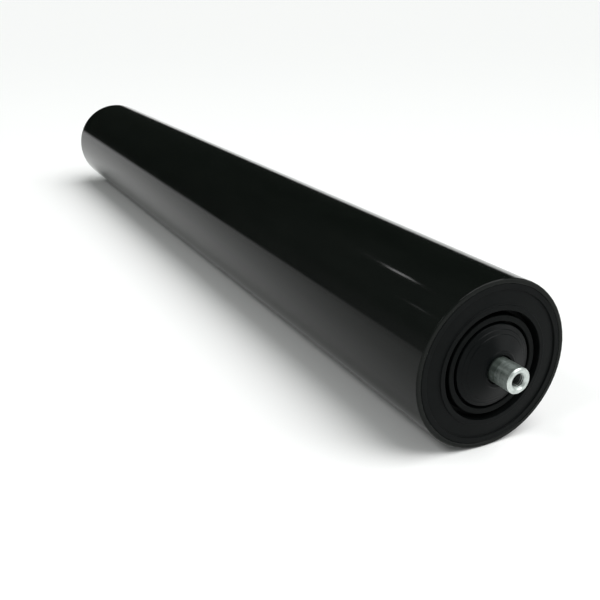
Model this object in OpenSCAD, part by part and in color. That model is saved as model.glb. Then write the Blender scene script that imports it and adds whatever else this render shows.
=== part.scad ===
// Conveyor roller: a plastic tube that turns on two sealed ball bearings
// round a fixed steel spindle, with a labyrinth seal and a dust cap at each end.
// The roller's axis lies along Y, and its front end is at -Y.

/* [Tube] */
// Length of the tube from rim to rim
tube_length = 1050; // [300:10:1800]
// Outer diameter of the tube
tube_diameter = 133; // [128:1:160]
// Wall thickness of the tube
tube_wall = 4; // [3:0.1:5]
// Radius of the rounding on the outer edge of each rim
rim_round = 1.2; // [0.4:0.1:1.8]
// Radius of the rounding on its inner edge
bore_round = 0.8; // [0.2:0.1:1]

/* [Spindle] */
// Diameter of the spindle, which is also the bore of the bearings
spindle_diameter = 20; // [18:0.5:21]
// How far each end of the spindle stands out past the rim of the tube
spindle_projection = 27.5; // [12:0.5:60]
// Chamfer on the ends of the spindle
spindle_chamfer = 1; // [0.4:0.1:1.6]
// Outer diameter of the thread tapped into each end
thread_diameter = 12; // [8:1:14]
// Pitch of the thread
thread_pitch = 1.75; // [1:0.25:2]
// Depth of the drilled hole, without the drill's point
drill_depth = 30; // [15:1:60]
// Width of the countersink beyond the thread, on the radius
countersink_margin = 0.6; // [0.2:0.1:1]

/* [Bearing] */
// Outer diameter of the bearing
bearing_diameter = 47; // [46:0.5:50]
// Width of the bearing
bearing_width = 14; // [13:0.5:18]
// Depth of the bearing's outer face below the rim of the tube
bearing_depth = 14; // [13:0.5:20]
// Radius on the corners of the bearing's rings
bearing_corner = 1; // [0.5:0.1:1.5]
// Number of balls in a bearing
ball_count = 8; // [5:1:8]
// Diameter of a ball
ball_diameter = 7.94; // [7:0.01:8.2]
// Gap between the two rings beside the balls
ring_gap = 4.85; // [4:0.05:5.5]
// Running clearance between a ball and the grooves of the rings
race_play = 0.03; // [0.01:0.01:0.05]

/* [Ball cage] */
// Thickness of the sheet that the cage is pressed from
cage_sheet = 0.7; // [0.4:0.1:0.8]
// Clearance between a ball and its pocket
cage_play = 0.2; // [0.1:0.05:0.3]
// Gap between the cage and each ring
cage_margin = 0.8; // [0.4:0.1:1]
// Diameter of a cage rivet's shank
rivet_diameter = 1; // [0.6:0.1:1.2]
// Height of a rivet's head
rivet_head = 0.4; // [0.2:0.1:0.6]

/* [Bearing seals] */
// Thickness of the rubber seal in each face of the bearing
seal_thickness = 1; // [0.6:0.1:1.2]
// Depth of the seal below the bearing's face
seal_inset = 0.3; // [0.2:0.1:0.4]
// Depth of the seal's seat in the outer ring
seal_seat = 1.4; // [1:0.1:1.6]
// Gap between the seal's lip and the inner ring
seal_lip_gap = 0.25; // [0.2:0.05:0.4]

/* [Circlip] */
// Thickness of the circlip
circlip_thickness = 1.2; // [1:0.05:1.4]
// Depth of its groove in the spindle
circlip_groove = 0.5; // [0.3:0.05:0.7]
// Width of the circlip opposite its gap
circlip_wide = 2.6; // [2:0.1:2.8]
// Width of the circlip beside its gap
circlip_narrow = 1.5; // [1.2:0.1:1.9]
// Gap between the two ends
circlip_gap = 5; // [4:0.5:6]
// Radius of the two lugs that pliers hold
circlip_lug = 1.9; // [1.6:0.1:2]
// Diameter of the hole in each lug
circlip_hole = 1.8; // [1.2:0.1:2]

/* [End cap] */
// Depth of the cap's flange below the rim of the tube
cap_recess = 0.2; // [0:0.1:3]
// Width of the flange
flange_width = 4.5; // [3:0.1:8]
// Height of the step from the flange down to the web
flange_step = 1.2; // [0.4:0.1:3]
// Thickness of the cap's web
cap_web = 4.5; // [3:0.1:6]
// Length of the wall that seats the cap in the tube
cap_seat_length = 34; // [20:1:60]
// Thickness of that wall
cap_seat_wall = 4; // [3:0.1:5]
// Height of the collar past the rim of the tube
collar_height = 0.8; // [-1:0.1:3]
// Height of the step from the web up to the collar
collar_step = 1.3; // [0.6:0.1:2]
// Thickness of the collar
collar_wall = 3.9; // [3:0.1:6]
// Thickness of the floor of the chamber inside the collar, which holds the labyrinth seal
chamber_floor = 3.5; // [3:0.1:5]
// Thickness of the wall round the bearing
pocket_wall = 6; // [4:0.5:8]
// Width of the shoulder behind the bearing
shoulder_width = 3; // [2:0.1:4]
// Thickness of that shoulder
shoulder_thickness = 3; // [2:0.1:5]
// Number of ribs behind the web
rib_count = 10; // [4:1:16]
// Thickness of a rib
rib_thickness = 3; // [2:0.1:4]
// Distance that the ribs stop short of the walls that they join
rib_setback = 4; // [2:0.5:6]

/* [Labyrinth seal] */
// Width of the grease space between the dust cap's hub and its inner skirt
grease_space = 6.2; // [5.5:0.1:8]
// Width of the open groove between the collar and the labyrinth ring
outer_groove = 4.2; // [2:0.1:5]
// Thickness of the labyrinth ring's outer wall
outer_wall = 4.5; // [3:0.1:5]
// Thickness of its inner wall
inner_wall = 2.8; // [2:0.1:3]
// Thickness of its flange
labyrinth_flange = 2.5; // [2:0.1:3]
// Length of the spigot that holds the bearing in its pocket
spigot_length = 2; // [1:0.1:3]
// Depth of the outer wall's edge below the rim of the tube
ring_sink = 0.7; // [0.3:0.1:3]
// Running gap between the labyrinth ring and the dust cap
running_gap = 2; // [1:0.1:2.2]

/* [Dust cap] */
// Depth of the dust cap's edge below the rim of the tube
dust_cap_sink = 0.5; // [0.3:0.1:3]
// Slope of the cap's face, in degrees
dust_cap_slope = 20.7; // [15:0.1:30]
// Thickness of the cap's shell
dust_cap_shell = 2.4; // [1.6:0.1:3]
// Thickness of the two skirts that run between the labyrinth ring's walls
skirt_wall = 2.4; // [1.6:0.1:2.5]
// Distance from the edge to the outer step in the face
outer_step = 3.7; // [3:0.1:5]
// Distance from the outer step to the inner step
step_spacing = 3.2; // [2:0.1:5]
// Height of each step
step_height = 0.5; // [0.2:0.1:0.8]
// Thickness of the hub that grips the spindle
hub_wall = 4.3; // [3:0.1:5]
// Height of the lip round the mouth of the hub
lip_height = 0.9; // [0.4:0.1:1.5]
// Open gap between the mouth and the spindle
mouth_gap = 1.2; // [0.5:0.1:1.6]
// Depth of that gap
mouth_depth = 5; // [2:0.5:8]

/* [Inner seal] */
// Thickness of the rubber seal behind the bearing
inner_seal_thickness = 3; // [2:0.1:4]
// Thickness of its lip at the spindle
inner_seal_lip = 1.2; // [0.8:0.1:1.6]
// Gap between the lip and the spindle
inner_seal_gap = 0.3; // [0.2:0.05:0.6]

/* [Hidden] */

$fn = 96;
// Straight pieces in the arc of a rounded corner
corner_steps = 6;
// Radial gap that a press fit is drawn with
press_gap = 0.02;
// Play of the circlip in its groove
circlip_slack = 0.1;
// Gap between the dust cap's hub and the circlip
hub_gap = 0.3;
// Distance from the bearing's seal out to the bore of the labyrinth ring
flange_margin = 0.5;
// Roundings on the moulded parts
edge_round = 0.8;
foot_round = 1.5;
// Angle of the drill's point and of the countersink
drill_point = 118;
countersink_angle = 90;

tube_black = [0.07, 0.08, 0.08];
cap_black = [0.12, 0.12, 0.13];
rubber_black = [0.09, 0.09, 0.09];
turned_steel = [0.62, 0.64, 0.62];
bearing_steel = [0.75, 0.76, 0.78];
cage_steel = [0.55, 0.56, 0.58];
spring_steel = [0.25, 0.25, 0.27];

// Radii, from the spindle outwards
spindle_r = spindle_diameter / 2;
bearing_r = bearing_diameter / 2;
pitch_r = (spindle_r + bearing_r) / 2;
ball_r = ball_diameter / 2;
inner_shoulder_r = pitch_r - ring_gap / 2;
outer_shoulder_r = pitch_r + ring_gap / 2;
seal_seat_r = outer_shoulder_r + seal_seat;
tube_r = tube_diameter / 2;
tube_bore_r = tube_r - tube_wall;
cap_r = tube_bore_r - press_gap;
seat_inner_r = cap_r - cap_seat_wall;
pocket_r = bearing_r + press_gap;
hub_outer_r = pocket_r + pocket_wall;
web_r = cap_r - flange_width;

// Radii of the labyrinth, from the dust cap's hub out to the collar
mouth_r = spindle_r + mouth_gap;
hub_r = spindle_r + hub_wall;
inner_skirt_inner_r = hub_r + grease_space;
inner_skirt_outer_r = inner_skirt_inner_r + skirt_wall;
inner_wall_inner_r = inner_skirt_outer_r + running_gap;
inner_wall_outer_r = inner_wall_inner_r + inner_wall;
outer_skirt_r = inner_wall_outer_r + running_gap;
dust_cap_r = outer_skirt_r + skirt_wall;
ring_inner_r = dust_cap_r + running_gap;
ring_outer_r = ring_inner_r + outer_wall;
chamber_r = ring_outer_r + outer_groove;
collar_r = chamber_r + collar_wall;
flange_bore_r = seal_seat_r + flange_margin;

// Heights at an end, measured outwards from the rim of the tube
tip_z = spindle_projection;
bearing_mid_z = -bearing_depth - bearing_width / 2;
bearing_back_z = -bearing_depth - bearing_width;
shoulder_back_z = bearing_back_z - shoulder_thickness;
pocket_end_z = shoulder_back_z - inner_seal_thickness;
chamber_floor_z = -bearing_depth + spigot_length;
flange_top_z = chamber_floor_z + labyrinth_flange;
skirt_end_z = flange_top_z + running_gap;
flange_z = -cap_recess;
cap_seat_end_z = flange_z - cap_seat_length;
web_foot_z = flange_z - flange_step;
web_top_z = collar_height - collar_step;
circlip_top_z = -bearing_depth + circlip_thickness;
hub_end_z = circlip_top_z + hub_gap;

// Outside of the dust cap, from its edge up to the lip round its mouth
face_slope = tan(dust_cap_slope);
lip_foot_r = hub_r + edge_round / 2;
outer_step_r = dust_cap_r - outer_step;
inner_step_r = outer_step_r - step_spacing;
dust_edge_z = -dust_cap_sink;
outer_step_z = dust_edge_z + face_slope * (dust_cap_r - outer_step_r - step_height);
middle_z = outer_step_z + step_height;
inner_step_z = middle_z + face_slope * (outer_step_r - inner_step_r - step_height);
upper_z = inner_step_z + step_height;
lip_foot_z = upper_z + face_slope * (inner_step_r - lip_foot_r);
lip_z = lip_foot_z + lip_height;
mouth_z = lip_z - mouth_depth;
inner_wall_top_z = shell_z(inner_wall_outer_r) - running_gap;

// Height of the underside of the dust cap's shell at a radius
function shell_z(r) = dust_edge_z + face_slope * (dust_cap_r - r) - dust_cap_shell;
// Height of the middle of the end cap's conical web at a radius
function web_z(r) =
    web_top_z + (web_foot_z - web_top_z) * (r - collar_r) / (web_r - collar_r) - cap_web / 2;

function unit(v) = v / norm(v);
function flat(p) = [p[0], p[1]];

// Points of the arc that rounds corner b, between its neighbours a and c.
// The corner's radius is its third number, and a corner without one stays sharp.
function corner(a, b, c) =
    is_undef(b[2]) ? [flat(b)] :
    let (
        to_a = unit(flat(a) - flat(b)),
        to_c = unit(flat(c) - flat(b)),
        half = acos(to_a * to_c) / 2,
        centre = flat(b) + unit(to_a + to_c) * b[2] / sin(half),
        first = flat(b) + to_a * b[2] / tan(half) - centre,
        last = flat(b) + to_c * b[2] / tan(half) - centre,
        start = atan2(first[1], first[0]),
        turn = (atan2(last[1], last[0]) - start + 540) % 360 - 180
    )
    [for (i = [0 : corner_steps])
        centre + b[2] * [cos(start + turn * i / corner_steps), sin(start + turn * i / corner_steps)]];

function rounded(points) =
    let (n = len(points))
    [for (i = [0 : n - 1])
        each corner(points[(i + n - 1) % n], points[i], points[(i + 1) % n])];

// A turned body from the outline of its section, as radius and height
module turned(points) {
    rotate_extrude() polygon(rounded(points));
}

// Puts a piece drawn along +Z, from the rim of the tube outwards, at the roller's front or rear end
module at_front() {
    translate([0, -tube_length / 2, 0]) rotate([90, 0, 0]) children();
}

module at_rear() {
    rotate([0, 0, 180]) at_front() children();
}

module at_bearing() {
    translate([0, 0, bearing_mid_z]) children();
}

module round_about(count) {
    for (i = [0 : count - 1]) rotate([0, 0, 360 * i / count]) children();
}

// ---- Pieces that both ends share ----

module tube() {
    half = tube_length / 2;
    color(tube_black) rotate([-90, 0, 0]) turned([
        [tube_bore_r, -half, bore_round],
        [tube_r, -half, rim_round],
        [tube_r, half, rim_round],
        [tube_bore_r, half, bore_round]
    ]);
}

module tapped_hole() {
    mouth_radius = thread_diameter / 2 + countersink_margin;
    drill_radius = (thread_diameter - thread_pitch) / 2;
    mouth = (mouth_radius - drill_radius) / tan(countersink_angle / 2);
    point = drill_radius / tan(drill_point / 2);
    over = 1;
    rotate_extrude() polygon([
        [0, tip_z + over],
        [mouth_radius + over * tan(countersink_angle / 2), tip_z + over],
        [drill_radius, tip_z - mouth],
        [drill_radius, tip_z - drill_depth],
        [0, tip_z - drill_depth - point]
    ]);
}

module circlip_groove_cut() {
    over = 1;
    rotate_extrude() translate([spindle_r - circlip_groove, -bearing_depth])
        square([circlip_groove + over, circlip_thickness + circlip_slack]);
}

module spindle() {
    half = tube_length / 2 + spindle_projection;
    color(turned_steel) difference() {
        rotate([-90, 0, 0]) rotate_extrude() polygon([
            [0, -half],
            [spindle_r - spindle_chamfer, -half],
            [spindle_r, -half + spindle_chamfer],
            [spindle_r, half - spindle_chamfer],
            [spindle_r - spindle_chamfer, half],
            [0, half]
        ]);
        at_front() tapped_hole();
        at_front() circlip_groove_cut();
        at_rear() tapped_hole();
        at_rear() circlip_groove_cut();
    }
}

// ---- End cap ----

module end_cap_body() {
    shoulder_r = pocket_r - shoulder_width;
    turned([
        // The face, from the tube inwards to the collar
        [cap_r, flange_z, edge_round],
        [web_r, flange_z, edge_round / 2],
        [web_r, web_foot_z, edge_round / 2],
        [collar_r, web_top_z, edge_round],
        [collar_r, collar_height, edge_round / 2],
        [chamber_r, collar_height, edge_round / 2],
        // The chamber and the bearing's pocket
        [chamber_r, chamber_floor_z],
        [pocket_r, chamber_floor_z],
        [pocket_r, bearing_back_z],
        [shoulder_r, bearing_back_z],
        [shoulder_r, shoulder_back_z],
        [pocket_r, shoulder_back_z],
        [pocket_r, pocket_end_z],
        // The back
        [hub_outer_r, pocket_end_z, edge_round],
        [hub_outer_r, chamber_floor_z - chamber_floor, foot_round],
        [collar_r, chamber_floor_z - chamber_floor, foot_round],
        [collar_r, web_z(collar_r) - cap_web / 2, foot_round],
        [seat_inner_r, web_z(seat_inner_r) - cap_web / 2, foot_round],
        [seat_inner_r, cap_seat_end_z],
        [cap_r - edge_round, cap_seat_end_z],
        [cap_r, cap_seat_end_z + edge_round * 2]
    ]);
}

module end_cap_rib() {
    root_r = hub_outer_r - pocket_wall / 2;
    knee_r = collar_r - collar_wall / 2;
    tip_r = cap_r - cap_seat_wall / 2;
    floor_z = chamber_floor_z - chamber_floor / 2;
    rotate([90, 0, 0]) translate([0, 0, -rib_thickness / 2]) linear_extrude(rib_thickness) polygon([
        [root_r, floor_z],
        [knee_r, floor_z],
        [knee_r, web_z(collar_r)],
        [collar_r, web_z(collar_r)],
        [tip_r, web_z(tip_r)],
        [tip_r, cap_seat_end_z + rib_setback],
        [root_r, pocket_end_z + rib_setback]
    ]);
}

module end_cap() {
    color(cap_black) {
        end_cap_body();
        round_about(rib_count) end_cap_rib();
    }
}

// ---- Bearing ----

module outer_ring() {
    half = bearing_width / 2;
    ledge = half - seal_inset - seal_thickness;
    color(bearing_steel) at_bearing() rotate_extrude() difference() {
        polygon(rounded([
            [outer_shoulder_r, -ledge],
            [seal_seat_r, -ledge],
            [seal_seat_r, -half],
            [bearing_r, -half, bearing_corner],
            [bearing_r, half, bearing_corner],
            [seal_seat_r, half],
            [seal_seat_r, ledge],
            [outer_shoulder_r, ledge]
        ]));
        translate([pitch_r, 0]) circle(ball_r + race_play);
    }
}

module inner_ring() {
    half = bearing_width / 2;
    bore_r = spindle_r + press_gap;
    color(bearing_steel) at_bearing() rotate_extrude() difference() {
        polygon(rounded([
            [bore_r, -half, bearing_corner],
            [inner_shoulder_r, -half],
            [inner_shoulder_r, half],
            [bore_r, half, bearing_corner]
        ]));
        translate([pitch_r, 0]) circle(ball_r + race_play);
    }
}

module balls() {
    color(bearing_steel) at_bearing()
        round_about(ball_count) translate([pitch_r, 0, 0]) sphere(ball_r);
}

// The ring that the two halves of the cage keep within
module cage_band(height) {
    rotate_extrude() translate([inner_shoulder_r + cage_margin, 0])
        square([ring_gap - 2 * cage_margin, height]);
}

// Half of the ribbon cage: a flat band with a cup over each ball, riveted between the balls
module cage_half() {
    cup_r = ball_r + cage_play;
    difference() {
        intersection() {
            cage_band(cup_r + cage_sheet);
            union() {
                cage_band(cage_sheet);
                round_about(ball_count) translate([pitch_r, 0, 0]) sphere(cup_r + cage_sheet);
            }
        }
        round_about(ball_count) translate([pitch_r, 0, 0]) sphere(cup_r);
        at_rivets() translate([0, 0, -cage_sheet])
            cylinder(h = 3 * cage_sheet, d = rivet_diameter + 2 * press_gap);
    }
}

module at_rivets() {
    rotate([0, 0, 180 / ball_count]) round_about(ball_count) translate([pitch_r, 0, 0]) children();
}

module cage_outer() {
    color(cage_steel) at_bearing() cage_half();
}

module cage_inner() {
    color(cage_steel) at_bearing() rotate([180, 0, 0]) cage_half();
}

module cage_rivets() {
    top = cage_sheet + rivet_head;
    color(cage_steel) at_bearing() at_rivets() rotate_extrude() polygon([
        [0, -top],
        [rivet_diameter / 2, -top],
        [rivet_diameter, -cage_sheet],
        [rivet_diameter / 2, -cage_sheet],
        [rivet_diameter / 2, cage_sheet],
        [rivet_diameter, cage_sheet],
        [rivet_diameter / 2, top],
        [0, top]
    ]);
}

module bearing_seal() {
    top = bearing_width / 2 - seal_inset;
    lip_r = inner_shoulder_r + seal_lip_gap;
    color(rubber_black) at_bearing() turned([
        [seal_seat_r - press_gap, top - seal_thickness],
        [seal_seat_r - press_gap, top],
        [lip_r + 2 * seal_thickness, top, seal_thickness / 2],
        [lip_r, top - seal_thickness / 2],
        [lip_r, top - seal_thickness]
    ]);
}

module bearing_seal_inner() {
    translate([0, 0, 2 * bearing_mid_z]) mirror([0, 0, 1]) bearing_seal();
}

// ---- Circlip ----

module circlip_outline() {
    inner_r = spindle_r - circlip_groove + press_gap;
    outer_r = inner_r + (circlip_wide + circlip_narrow) / 2;
    lug_x = circlip_gap / 2 + circlip_lug;
    lug_y = sqrt(pow(inner_r + circlip_lug, 2) - pow(lug_x, 2));
    difference() {
        union() {
            translate([0, (circlip_narrow - circlip_wide) / 2]) circle(outer_r);
            for (x = [-lug_x, lug_x]) translate([x, lug_y]) circle(circlip_lug);
        }
        circle(inner_r);
        for (x = [-lug_x, lug_x]) translate([x, lug_y]) circle(d = circlip_hole);
        translate([-circlip_gap / 2, 0]) square([circlip_gap, 2 * outer_r]);
    }
}

module circlip() {
    color(spring_steel) translate([0, 0, -bearing_depth])
        linear_extrude(circlip_thickness) circlip_outline();
}

// ---- Labyrinth seal ----

// The half that turns with the tube: a flange with two upright walls and a spigot
module labyrinth_ring() {
    flange_r = chamber_r - press_gap;
    spigot_r = pocket_r - press_gap;
    color(cap_black) turned([
        [flange_bore_r, -bearing_depth],
        [spigot_r, -bearing_depth],
        [spigot_r, chamber_floor_z],
        [flange_r, chamber_floor_z],
        [flange_r, flange_top_z],
        [ring_outer_r, flange_top_z, foot_round],
        [ring_outer_r, -ring_sink, edge_round],
        [ring_inner_r, -ring_sink, edge_round],
        [ring_inner_r, flange_top_z],
        [inner_wall_outer_r, flange_top_z],
        [inner_wall_outer_r, inner_wall_top_z, edge_round],
        [inner_wall_inner_r, inner_wall_top_z, edge_round],
        [inner_wall_inner_r, flange_top_z],
        [flange_bore_r, flange_top_z]
    ]);
}

// The half that stays with the spindle: a stepped cone with two skirts and a hub
module dust_cap() {
    grip_r = spindle_r + press_gap;
    color(cap_black) turned([
        // The face, from the mouth of the hub out to the edge
        [mouth_r, lip_z, edge_round / 2],
        [hub_r - edge_round, lip_z, edge_round],
        [lip_foot_r, lip_foot_z, edge_round / 2],
        [inner_step_r, upper_z, step_height / 2],
        [inner_step_r + step_height, inner_step_z, step_height / 2],
        [outer_step_r, middle_z, step_height / 2],
        [outer_step_r + step_height, outer_step_z, step_height / 2],
        [dust_cap_r, dust_edge_z, edge_round],
        // The two skirts
        [dust_cap_r, skirt_end_z],
        [outer_skirt_r, skirt_end_z],
        [outer_skirt_r, shell_z(outer_skirt_r)],
        [inner_skirt_outer_r, shell_z(inner_skirt_outer_r)],
        [inner_skirt_outer_r, skirt_end_z],
        [inner_skirt_inner_r, skirt_end_z],
        [inner_skirt_inner_r, shell_z(inner_skirt_inner_r)],
        // The hub and its bore
        [hub_r, shell_z(hub_r)],
        [hub_r, hub_end_z],
        [grip_r, hub_end_z],
        [grip_r, mouth_z],
        [mouth_r, mouth_z]
    ]);
}

// ---- Inner seal ----

module inner_seal() {
    seat_r = pocket_r - press_gap;
    lip_r = spindle_r + inner_seal_gap;
    shoulder_r = pocket_r - shoulder_width;
    color(rubber_black) turned([
        [seat_r, shoulder_back_z],
        [seat_r, pocket_end_z],
        [shoulder_r, pocket_end_z, edge_round],
        [shoulder_r - edge_round, shoulder_back_z - inner_seal_lip, edge_round / 2],
        [lip_r + inner_seal_lip, shoulder_back_z - inner_seal_lip, edge_round],
        [lip_r, pocket_end_z],
        [lip_r, shoulder_back_z - inner_seal_lip],
        [lip_r + inner_seal_lip / 2, shoulder_back_z]
    ]);
}

// ---- One module for each named piece ----

module front_end_cap() { at_front() end_cap(); }
module front_outer_ring() { at_front() outer_ring(); }
module front_inner_ring() { at_front() inner_ring(); }
module front_balls() { at_front() balls(); }
module front_cage_outer() { at_front() cage_outer(); }
module front_cage_inner() { at_front() cage_inner(); }
module front_cage_rivets() { at_front() cage_rivets(); }
module front_bearing_seal_outer() { at_front() bearing_seal(); }
module front_bearing_seal_inner() { at_front() bearing_seal_inner(); }
module front_circlip() { at_front() circlip(); }
module front_labyrinth_ring() { at_front() labyrinth_ring(); }
module front_dust_cap() { at_front() dust_cap(); }
module front_inner_seal() { at_front() inner_seal(); }

module rear_end_cap() { at_rear() end_cap(); }
module rear_outer_ring() { at_rear() outer_ring(); }
module rear_inner_ring() { at_rear() inner_ring(); }
module rear_balls() { at_rear() balls(); }
module rear_cage_outer() { at_rear() cage_outer(); }
module rear_cage_inner() { at_rear() cage_inner(); }
module rear_cage_rivets() { at_rear() cage_rivets(); }
module rear_bearing_seal_outer() { at_rear() bearing_seal(); }
module rear_bearing_seal_inner() { at_rear() bearing_seal_inner(); }
module rear_circlip() { at_rear() circlip(); }
module rear_labyrinth_ring() { at_rear() labyrinth_ring(); }
module rear_dust_cap() { at_rear() dust_cap(); }
module rear_inner_seal() { at_rear() inner_seal(); }

tube();
spindle();
front_end_cap();
front_outer_ring();
front_inner_ring();
front_balls();
front_cage_outer();
front_cage_inner();
front_cage_rivets();
front_bearing_seal_outer();
front_bearing_seal_inner();
front_circlip();
front_labyrinth_ring();
front_dust_cap();
front_inner_seal();
rear_end_cap();
rear_outer_ring();
rear_inner_ring();
rear_balls();
rear_cage_outer();
rear_cage_inner();
rear_cage_rivets();
rear_bearing_seal_outer();
rear_bearing_seal_inner();
rear_circlip();
rear_labyrinth_ring();
rear_dust_cap();
rear_inner_seal();
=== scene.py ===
"""Conveyor roller: materials, the tapped spindle, floor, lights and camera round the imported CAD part.

The roller's axis lies along Y and its front end is at -Y. All lengths are in metres.
"""
import math

import bpy
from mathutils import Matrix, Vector


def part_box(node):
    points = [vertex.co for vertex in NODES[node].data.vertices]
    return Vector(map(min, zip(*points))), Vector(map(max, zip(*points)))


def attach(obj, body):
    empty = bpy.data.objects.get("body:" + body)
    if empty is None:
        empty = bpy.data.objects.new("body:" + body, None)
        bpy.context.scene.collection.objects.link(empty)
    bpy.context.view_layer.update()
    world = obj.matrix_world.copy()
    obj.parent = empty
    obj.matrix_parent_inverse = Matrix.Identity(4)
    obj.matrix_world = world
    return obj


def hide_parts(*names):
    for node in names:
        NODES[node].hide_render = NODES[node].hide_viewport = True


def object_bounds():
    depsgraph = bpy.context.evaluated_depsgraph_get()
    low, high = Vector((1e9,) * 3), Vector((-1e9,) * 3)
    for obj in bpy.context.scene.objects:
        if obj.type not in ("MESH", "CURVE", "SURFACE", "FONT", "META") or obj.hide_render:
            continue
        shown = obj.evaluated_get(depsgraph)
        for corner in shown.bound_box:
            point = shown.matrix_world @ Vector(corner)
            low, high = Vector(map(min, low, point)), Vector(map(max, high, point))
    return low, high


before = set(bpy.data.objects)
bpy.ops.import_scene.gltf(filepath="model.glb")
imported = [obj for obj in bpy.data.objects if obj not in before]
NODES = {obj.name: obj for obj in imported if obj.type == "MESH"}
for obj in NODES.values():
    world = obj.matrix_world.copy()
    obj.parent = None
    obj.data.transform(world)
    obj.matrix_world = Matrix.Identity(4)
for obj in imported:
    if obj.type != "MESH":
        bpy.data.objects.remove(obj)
CAD_BOX = [list(corner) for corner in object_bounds()]

MM = 0.001
FLOOR_Z = CAD_BOX[0][2]


# ---- Node helpers ----

class Graph:
    """Builds the nodes of one material."""

    def __init__(self, name):
        self.material = bpy.data.materials.new(name)
        self.material.use_nodes = True
        self.nodes = self.material.node_tree.nodes
        self.links = self.material.node_tree.links
        self.shader = self.nodes["Principled BSDF"]
        self.place = self.nodes.new("ShaderNodeTexCoord").outputs["Object"]

    def put(self, socket, value):
        if isinstance(value, bpy.types.NodeSocket):
            self.links.new(value, socket)
        else:
            socket.default_value = value

    def set(self, **values):
        """Sets the shader's sockets, named with _ for each space."""
        for name, value in values.items():
            self.put(self.shader.inputs[name.replace("_", " ")], value)

    def math(self, operation, a, b=0.0):
        node = self.nodes.new("ShaderNodeMath")
        node.operation = operation
        self.put(node.inputs[0], a)
        self.put(node.inputs[1], b)
        return node.outputs[0]

    def stretched(self, scale):
        """The object's coordinates, scaled by one number for each axis."""
        node = self.nodes.new("ShaderNodeMapping")
        self.put(node.inputs["Vector"], self.place)
        node.inputs["Scale"].default_value = scale
        return node.outputs["Vector"]

    def noise(self, vector, scale=1.0, detail=3.0, roughness=0.5):
        node = self.nodes.new("ShaderNodeTexNoise")
        self.put(node.inputs["Vector"], vector)
        node.inputs["Scale"].default_value = scale
        node.inputs["Detail"].default_value = detail
        node.inputs["Roughness"].default_value = roughness
        return node.outputs["Fac"]

    def turned(self):
        """Distance from the roller's axis, and place along it."""
        split = self.nodes.new("ShaderNodeSeparateXYZ")
        self.put(split.inputs[0], self.place)
        x, y, z = split.outputs
        squares = self.math("ADD", self.math("MULTIPLY", x, x), self.math("MULTIPLY", z, z))
        return self.math("SQRT", squares), y

    def depth(self):
        """Distance from the nearer end of the spindle, along it."""
        return self.math("SUBTRACT", SPINDLE_END, self.math("ABSOLUTE", self.turned()[1]))

    def rings(self, across, along, detail=4.0):
        """Lathe marks about the roller's axis, about so many per metre across a face and along a side."""
        radius, y = self.turned()
        place = self.math("ADD", self.math("MULTIPLY", radius, across), self.math("MULTIPLY", y, along))
        node = self.nodes.new("ShaderNodeTexNoise")
        node.noise_dimensions = "1D"
        self.put(node.inputs["W"], place)
        node.inputs["Scale"].default_value = 1.0
        node.inputs["Detail"].default_value = detail
        return node.outputs["Fac"]

    def range(self, value, low, high, start=0.25, end=0.75):
        """Goes from low to high as value goes from start to end."""
        node = self.nodes.new("ShaderNodeMapRange")
        self.put(node.inputs["Value"], value)
        node.inputs["From Min"].default_value = start
        node.inputs["From Max"].default_value = end
        node.inputs["To Min"].default_value = low
        node.inputs["To Max"].default_value = high
        return node.outputs["Result"]

    def mix(self, value, first, second, start=0.3, end=0.7):
        """Goes from the first colour to the second one as value goes from start to end."""
        node = self.nodes.new("ShaderNodeValToRGB")
        self.put(node.inputs["Fac"], value)
        node.color_ramp.elements[0].position = start
        node.color_ramp.elements[0].color = (*first, 1)
        node.color_ramp.elements[1].position = end
        node.color_ramp.elements[1].color = (*second, 1)
        return node.outputs["Color"]

    def bump(self, *layers):
        """Stacks bumps, each given as height, distance in metres and strength."""
        normal = None
        for height, distance, strength in layers:
            node = self.nodes.new("ShaderNodeBump")
            self.put(node.inputs["Height"], height)
            node.inputs["Distance"].default_value = distance
            node.inputs["Strength"].default_value = strength
            if normal:
                self.put(node.inputs["Normal"], normal)
            normal = node.outputs["Normal"]
        self.put(self.shader.inputs["Normal"], normal)


# ---- Materials ----

def glossy_tube():
    """Black extruded plastic with a polished skin, faint die lines along it and a little dust."""
    g = Graph("tube_black_plastic")
    die_lines = g.noise(g.stretched((900, 6, 900)), detail=4)
    waves = g.noise(g.stretched((28, 5, 28)), detail=2)
    smears = g.noise(g.stretched((45, 12, 45)), detail=6, roughness=0.65)
    g.set(
        Base_Color=g.mix(smears, (0.0030, 0.0040, 0.0033), (0.0044, 0.0056, 0.0047)),
        Roughness=g.range(smears, 0.06, 0.11),
        Specular_IOR_Level=0.11,
    )
    g.bump((waves, 0.3 * MM, 0.25), (die_lines, 0.02 * MM, 0.25))
    return g.material


TOOL_RINGS = 2200


def moulded(name, dark, light, roughness, specular, grain_size, grain, rings):
    """Satin black moulded plastic with a fine spark-eroded grain and the tool's turning rings."""
    g = Graph(name)
    speckle = g.noise(g.place, scale=1 / grain_size, detail=5, roughness=0.6)
    patches = g.noise(g.place, scale=60, detail=4)
    g.set(
        Base_Color=g.mix(patches, dark, light),
        Roughness=g.range(patches, roughness - 0.06, roughness + 0.06),
        Specular_IOR_Level=specular,
    )
    g.bump(
        (speckle, 0.05 * MM, grain),
        (g.rings(TOOL_RINGS, TOOL_RINGS), 0.05 * MM, rings),
    )
    return g.material


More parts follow.
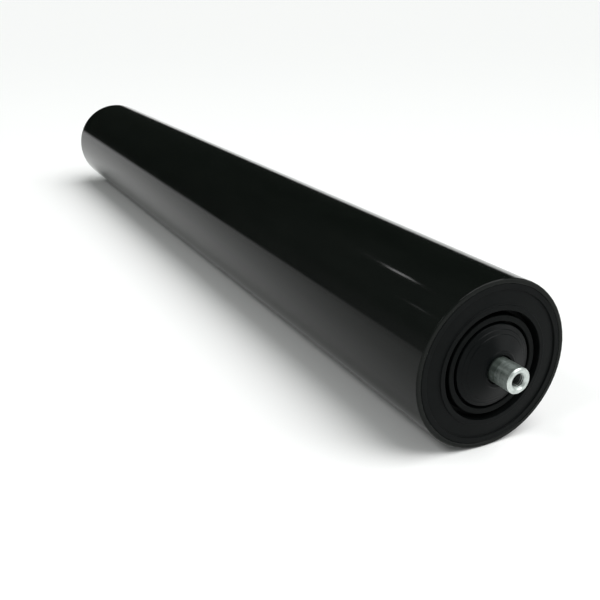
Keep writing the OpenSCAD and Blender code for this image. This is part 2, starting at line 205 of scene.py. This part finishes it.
def turned_steel(name, dark, light, anisotropic):
    """Steel with lathe marks round it and on its faces, a few dull stains, and painted shade that darkens
    it towards the root by the seal.
    """
    g = Graph(name)
    marks = g.rings(5200, 3600, detail=6)
    broad = g.rings(900, 420, detail=3)
    stains = g.noise(g.stretched((160, 90, 160)), detail=6, roughness=0.7)
    metal = g.math("ADD", g.math("MULTIPLY", stains, 0.8), g.math("MULTIPLY", broad, 0.2))
    # Painted shade: the side darkens from the end towards its root, where it goes into the end cap.
    unshaded = g.range(g.depth(), 1.0, ROOT_BRIGHTNESS_LEFT, *ROOT_SHADE_RANGE)
    shade = g.math("MULTIPLY", metal, unshaded)
    tangent = g.nodes.new("ShaderNodeTangent")
    tangent.direction_type = "RADIAL"
    tangent.axis = "Y"
    g.set(
        Base_Color=g.mix(shade, dark, light, 0.32, 0.62),
        Roughness=g.range(shade, 0.46, 0.32, 0.3, 0.7),
        Metallic=1.0,
        Anisotropic=anisotropic,
        Anisotropic_Rotation=0.25,
        Tangent=tangent.outputs["Tangent"],
    )
    g.bump((marks, 0.03 * MM, 0.5), (stains, 0.05 * MM, 0.15))
    return g.material


def shaded_thread_steel():
    """Steel of the tapped holes: a painted highlight on the first crests, and painted shade in the roots
    and deeper in the hole.
    """
    g = Graph("thread_steel_painted_shade")
    film = g.noise(g.place, scale=420, detail=5, roughness=0.65)
    radius = g.turned()[0]
    # Painted shade: the thread darkens from its crests to its roots and from the mouth of the hole
    # inwards; the film adds random tone.
    crest_light = g.range(radius, 1.0, 0.0, HOLE_R, THREAD_R)
    unshaded = g.range(g.depth(), 1.0, 0.0, *HOLE_SHADE_RANGE)
    lit_share = g.math("MULTIPLY", g.math("MULTIPLY", crest_light, unshaded), g.range(film, 0.6, 1.0))
    g.set(
        Base_Color=g.mix(lit_share, (0.05, 0.056, 0.053), (0.66, 0.71, 0.69), 0.0, 1.0),
        Roughness=g.range(film, 0.30, 0.48),
        Metallic=1.0,
    )
    g.bump((g.rings(0, 5200), 0.02 * MM, 0.4))
    return g.material


def ground_steel(name, dark, light, roughness, marks):
    """Bearing steel with fine grinding marks round the axis."""
    g = Graph(name)
    lines = g.rings(7000, 7000, detail=5)
    film = g.noise(g.place, scale=220, detail=5, roughness=0.6)
    g.set(
        Base_Color=g.mix(film, dark, light),
        Roughness=g.range(film, roughness * 0.75, roughness * 1.25),
        Metallic=1.0,
    )
    g.bump((lines, 0.02 * MM, marks))
    return g.material


def oiled_spring_steel():
    """Blackened spring steel with a thin film of oil."""
    g = Graph("circlip_spring_steel")
    film = g.noise(g.place, scale=350, detail=6, roughness=0.65)
    g.set(
        Base_Color=g.mix(film, (0.035, 0.035, 0.04), (0.09, 0.085, 0.08)),
        Roughness=g.range(film, 0.28, 0.5),
        Metallic=0.85,
    )
    g.bump((film, 0.03 * MM, 0.3))
    return g.material


def nitrile_rubber():
    """Matt black rubber with a bloom of talc in its grain."""
    g = Graph("seal_rubber")
    grain = g.noise(g.place, scale=2600, detail=4)
    bloom = g.noise(g.place, scale=140, detail=5, roughness=0.6)
    g.set(
        Base_Color=g.mix(bloom, (0.010, 0.010, 0.010), (0.022, 0.022, 0.021)),
        Roughness=g.range(bloom, 0.55, 0.75),
        Specular_IOR_Level=0.35,
    )
    g.bump((grain, 0.04 * MM, 0.35))
    return g.material


def dress(material, *names):
    """Gives a material to CAD nodes. A name also stands for the nodes at the front and the rear end."""
    for name in names:
        for node in (name, "front_" + name, "rear_" + name):
            if node in NODES:
                for place in NODES[node].material_slots:
                    place.material = material


dress(glossy_tube(), "tube")
dress(
    moulded(
        "end_cap_plastic", dark=(0.0028, 0.0035, 0.0035), light=(0.0044, 0.0052, 0.0052),
        roughness=0.46, specular=0.050, grain_size=0.35 * MM, grain=0.35, rings=0.10,
    ),
    "end_cap",
)
dress(
    moulded(
        "labyrinth_ring_plastic", dark=(0.0020, 0.0027, 0.0026), light=(0.0034, 0.0042, 0.0041),
        roughness=0.42, specular=0.045, grain_size=0.30 * MM, grain=0.30, rings=0.12,
    ),
    "labyrinth_ring",
)
dress(
    moulded(
        "dust_cap_plastic", dark=(0.0014, 0.0020, 0.0021), light=(0.0026, 0.0034, 0.0035),
        roughness=0.34, specular=0.065, grain_size=0.30 * MM, grain=0.25, rings=0.30,
    ),
    "dust_cap",
)
dress(
    ground_steel(
        "bearing_ring_steel", dark=(0.52, 0.52, 0.53), light=(0.66, 0.66, 0.67),
        roughness=0.22, marks=0.35,
    ),
    "outer_ring", "inner_ring",
)
dress(
    ground_steel(
        "ball_steel", dark=(0.62, 0.62, 0.63), light=(0.72, 0.72, 0.73),
        roughness=0.08, marks=0.02,
    ),
    "balls",
)
dress(
    ground_steel(
        "cage_steel", dark=(0.40, 0.39, 0.38), light=(0.56, 0.55, 0.53),
        roughness=0.34, marks=0.15,
    ),
    "cage_outer", "cage_inner", "cage_rivets",
)
dress(oiled_spring_steel(), "circlip")
dress(nitrile_rubber(), "bearing_seal_outer", "bearing_seal_inner", "inner_seal")


# ---- Spindle with its tapped holes ----

SPINDLE_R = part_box("spindle")[1].x
SPINDLE_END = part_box("spindle")[1].y
CHAMFER = 1.0 * MM
GROOVE_DEPTH = 0.5 * MM
CIRCLIP_SLACK = 0.1 * MM

# The tapped holes. Depths are below the face of an end.
THREAD_R = 6.0 * MM
PITCH = 1.75 * MM
HOLE_R = THREAD_R - PITCH / 2
HOLE_DEPTH = 30 * MM
RUN_OUT = 3 * MM
DRILL_POINT_ANGLE = 118
POINT_DEPTH = HOLE_R / math.tan(math.radians(DRILL_POINT_ANGLE / 2))
MOUTH_R = THREAD_R + 0.6 * MM

# The depths from which the painted shade in the holes and the painted shade on the outside towards the
# root begin and are darkest, and the share of the metal's brightness that is left where the painted shade
# on the outside is darkest.
HOLE_SHADE_DEPTH = 1.2 * MM
HOLE_SHADE_RANGE = (1.5 * MM, 5.5 * MM)
ROOT_SHADE_RANGE = (5.0 * MM, 22.0 * MM)
ROOT_BRIGHTNESS_LEFT = 0.45

# The mesh.
COLUMNS = 96
RINGS_PER_TURN = 12
SHARP_ANGLE = 25


def thread_cut(turns):
    """Share of the full depth that the thread's groove has, at a place in turns of the helix."""
    away = abs((turns % 1) - 0.5)
    half_root = 1 / 16
    flank = 5 / 16
    return min(max((half_root + flank - away) / flank, 0), 1)


def hole_ring(side, depth):
    """Radius of a tapped hole at each column. The side is 1 at the rear end and -1 at the front."""
    countersink = MOUTH_R - depth
    full_cut = (THREAD_R - HOLE_R) * min((HOLE_DEPTH - depth) / RUN_OUT, 1)
    turns = side * (SPINDLE_END - depth) / PITCH
    return [
        max(countersink, HOLE_R + full_cut * thread_cut(turns + i / COLUMNS))
        for i in range(COLUMNS)
    ]


def end_rings(side):
    """Rings of one end, each as y and radii, from the bottom of its hole over its face to the middle."""
    groove_inner, groove_outer = (corner.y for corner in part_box("rear_circlip"))
    groove_outer += CIRCLIP_SLACK
    step = PITCH / RINGS_PER_TURN
    rings = [(SPINDLE_END - HOLE_DEPTH, [HOLE_R] * COLUMNS)]
    for i in reversed(range(math.ceil(HOLE_DEPTH / step))):
        rings.append((SPINDLE_END - i * step, hole_ring(side, i * step)))
    for radius, y in (
        (SPINDLE_R - CHAMFER, SPINDLE_END),
        (SPINDLE_R, SPINDLE_END - CHAMFER),
        (SPINDLE_R, groove_outer),
        (SPINDLE_R - GROOVE_DEPTH, groove_outer),
        (SPINDLE_R - GROOVE_DEPTH, groove_inner),
        (SPINDLE_R, groove_inner),
    ):
        rings.append((y, [radius] * COLUMNS))
    return [(side * y, radii) for y, radii in rings]


def spindle_mesh():
    """A closed mesh of the whole spindle, with a right-hand thread in both ends."""
    rings = end_rings(1) + end_rings(-1)[::-1]
    point = SPINDLE_END - HOLE_DEPTH - POINT_DEPTH
    vertices = [(0, point, 0)]
    for y, radii in rings:
        for i, radius in enumerate(radii):
            angle = 2 * math.pi * i / COLUMNS
            vertices.append((radius * math.cos(angle), y, radius * math.sin(angle)))
    vertices.append((0, -point, 0))
    faces = []
    last = len(vertices) - 1 - COLUMNS
    for i in range(COLUMNS):
        j = (i + 1) % COLUMNS
        faces.append((0, 1 + i, 1 + j))
        for a in range(1, last, COLUMNS):
            b = a + COLUMNS
            faces.append((a + i, b + i, b + j, a + j))
        faces.append((last + j, last + i, last + COLUMNS))
    mesh = bpy.data.meshes.new("tapped_spindle")
    mesh.from_pydata(vertices, [], faces)
    mesh.shade_smooth()
    mesh.set_sharp_from_angle(angle=math.radians(SHARP_ANGLE))
    return mesh


def tapped_spindle():
    """The spindle with drawn steel along it, faced steel at its ends and steel with painted shade in its
    holes.
    """
    mesh = spindle_mesh()
    for material in (
        # The drawn steel's dark colour is also the colour that the painted shade at its root goes to.
        turned_steel(
            "spindle_drawn_steel", dark=(0.12, 0.145, 0.13), light=(0.60, 0.67, 0.64), anisotropic=0.6,
        ),
        turned_steel(
            "spindle_faced_steel", dark=(0.40, 0.44, 0.42), light=(0.62, 0.66, 0.64), anisotropic=0.25,
        ),
        shaded_thread_steel(),
    ):
        mesh.materials.append(material)
    # The faces deep in the tapped holes get the steel with painted shade.
    faced, shaded_hole = 1, 2
    for face in mesh.polygons:
        depth = SPINDLE_END - abs(face.center.y)
        if math.hypot(face.center.x, face.center.z) < THREAD_R and depth > HOLE_SHADE_DEPTH:
            face.material_index = shaded_hole
        elif depth < CHAMFER:
            face.material_index = faced
    piece = bpy.data.objects.new("tapped_spindle", mesh)
    bpy.context.scene.collection.objects.link(piece)
    return piece


spindle = tapped_spindle()
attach(spindle, "spindle")
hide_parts("spindle")


# ---- Floor ----

FLOOR_R = 200
FLOOR_SIDES = 96


def floor():
    """A disc of white paper that the roller lies on, so wide that its rim is the horizon."""
    angles = [2 * math.pi * i / FLOOR_SIDES for i in range(FLOOR_SIDES)]
    rim = [(FLOOR_R * math.cos(angle), FLOOR_R * math.sin(angle), FLOOR_Z) for angle in angles]
    mesh = bpy.data.meshes.new("floor")
    mesh.from_pydata(rim, [], [tuple(range(FLOOR_SIDES))])
    g = Graph("floor_paper")
    grain = g.noise(g.place, scale=900, detail=3)
    g.set(
        Base_Color=g.mix(grain, (0.91, 0.91, 0.91), (0.93, 0.93, 0.93)),
        Roughness=g.range(grain, 0.85, 0.95),
        Specular_IOR_Level=0.0,
    )
    mesh.materials.append(g.material)
    piece = bpy.data.objects.new("floor", mesh)
    bpy.context.scene.collection.objects.link(piece)


floor()


# ---- Light ----

# Angles above the level, in degrees: the white horizon ends at the first, a dark room has
# come in by the second, and a lit room fades from white to its own light up to the third.
HORIZON_ANGLE = 0.5
ROOM_ANGLE = 3.5
BACKDROP_ANGLE = 20

HORIZON_LIGHT = (0.98, 0.98, 0.98, 1)
LIT_ROOM = (0.31, 0.33, 0.315, 1)
DARK_ROOM = (0.010, 0.012, 0.010, 1)

# The room is lit towards these two sides, and each has the range over which its light comes in.
LIT_SIDE = (-0.45, -0.75, 0.48)
LIT_RANGE = (-0.5, 0.25)
RIGHT_SIDE = (0.857, -0.514, 0)
RIGHT_RANGE = (0.35, 0.75)


def studio():
    """The world: a white horizon under a room that is lit at the front and sides, and dark behind."""
    world = bpy.data.worlds.new("studio")
    bpy.context.scene.world = world
    world.use_nodes = True
    nodes = world.node_tree.nodes
    links = world.node_tree.links

    def blend(value, low, high, first, second):
        """Goes smoothly from the first colour to the second one as value goes from low to high."""
        share = nodes.new("ShaderNodeMapRange")
        share.interpolation_type = "SMOOTHSTEP"
        links.new(value, share.inputs["Value"])
        share.inputs["From Min"].default_value = low
        share.inputs["From Max"].default_value = high
        ramp = nodes.new("ShaderNodeMix")
        ramp.data_type = "RGBA"
        factor, first_colour, second_colour = ramp.inputs[0], ramp.inputs[6], ramp.inputs[7]
        links.new(share.outputs["Result"], factor)
        for socket, colour in ((first_colour, first), (second_colour, second)):
            if isinstance(colour, bpy.types.NodeSocket):
                links.new(colour, socket)
            else:
                socket.default_value = colour
        return ramp.outputs[2]

    direction = nodes.new("ShaderNodeTexCoord").outputs["Generated"]

    def towards(side):
        """Cosine of the angle between a direction in the room and a side of it."""
        cosine = nodes.new("ShaderNodeVectorMath")
        cosine.operation = "DOT_PRODUCT"
        links.new(direction, cosine.inputs[0])
        cosine.inputs[1].default_value = side
        return cosine.outputs["Value"]

    split = nodes.new("ShaderNodeSeparateXYZ")
    links.new(direction, split.inputs[0])
    height = split.outputs["Z"]
    horizon_top, room_start, backdrop_top = (
        math.sin(math.radians(angle)) for angle in (HORIZON_ANGLE, ROOM_ANGLE, BACKDROP_ANGLE)
    )
    lit_room = blend(height, room_start, backdrop_top, HORIZON_LIGHT, LIT_ROOM)
    room = blend(towards(LIT_SIDE), *LIT_RANGE, DARK_ROOM, lit_room)
    room = blend(towards(RIGHT_SIDE), *RIGHT_RANGE, room, lit_room)
    light = blend(height, horizon_top, room_start, HORIZON_LIGHT, room)
    links.new(light, nodes["Background"].inputs["Color"])


studio()


def aim(lamp, place, target):
    """Puts a lamp at a place in the scene and turns it to a target."""
    lamp.location = place
    lamp.rotation_euler = (Vector(target) - Vector(place)).to_track_quat("-Z", "Y").to_euler()
    bpy.context.scene.collection.objects.link(lamp)


def sun(name, direction, strength, angle):
    """A lamp that shines from a direction over everything, and is as wide as an angle in degrees."""
    data = bpy.data.lights.new(name, "SUN")
    data.energy = strength
    data.angle = math.radians(angle)
    aim(bpy.data.objects.new(name, data), direction, (0, 0, 0))


def panel(name, place, target, width, height, radiance):
    """A soft rectangular lamp whose face has the given radiance, where white is 1."""
    data = bpy.data.lights.new(name, "AREA")
    data.shape = "RECTANGLE"
    data.size = width
    data.size_y = height
    data.energy = radiance * math.pi * width * height
    lamp = bpy.data.objects.new(name, data)
    lamp.visible_camera = False
    aim(lamp, place, target)


def glint(name, hit, azimuth, elevation, size, radiance):
    """A small lamp that the tube mirrors at the point hit. Its azimuth goes from +Y towards -X."""
    level = math.cos(math.radians(elevation))
    direction = Vector((
        -level * math.sin(math.radians(azimuth)),
        level * math.cos(math.radians(azimuth)),
        math.sin(math.radians(elevation)),
    ))
    panel(name, Vector(hit) + direction * GLINT_DISTANCE, hit, *size, radiance)


FRONT_END = (0, -0.52, 0)
GLINT_DISTANCE = 3.0

sun("overhead_light", (0.30, -0.36, 0.88), strength=2.6, angle=55)
panel("key_light", (-1.35, -0.70, 1.45), FRONT_END, width=0.45, height=0.45, radiance=12)
panel("rim_light", (0.45, -2.17, 2.46), FRONT_END, width=1.1, height=0.25, radiance=6)
panel("side_card", (1.5, -1.9, 0.45), FRONT_END, width=1.1, height=0.9, radiance=2.2)
glint("long_glint", (-0.0374, -0.457, 0.0550), 7.4, 38.2, size=(0.08, 0.12), radiance=7)
glint("short_glint", (-0.0494, -0.4996, 0.0446), 29.2, 30.4, size=(0.05, 0.05), radiance=2.8)


# ---- Camera ----

CAMERA_PLACE = (-0.35495, -0.91849, 0.24836)
CAMERA_TURN = 26.8136
CAMERA_DIP = 21.1052
CAMERA_LENS = 47.118
CAMERA_REACH = 500


def camera():
    """A camera at the photo's view, turned from +Y towards +X and dipped below the level, in degrees."""
    data = bpy.data.cameras.new("camera")
    data.sensor_width = 36
    data.lens = CAMERA_LENS
    data.clip_end = CAMERA_REACH
    piece = bpy.data.objects.new("camera", data)
    piece.location = CAMERA_PLACE
    piece.rotation_euler = (math.radians(90 - CAMERA_DIP), 0, -math.radians(CAMERA_TURN))
    bpy.context.scene.collection.objects.link(piece)
    bpy.context.scene.camera = piece


camera()
bpy.context.scene.view_settings.view_transform = "Standard"
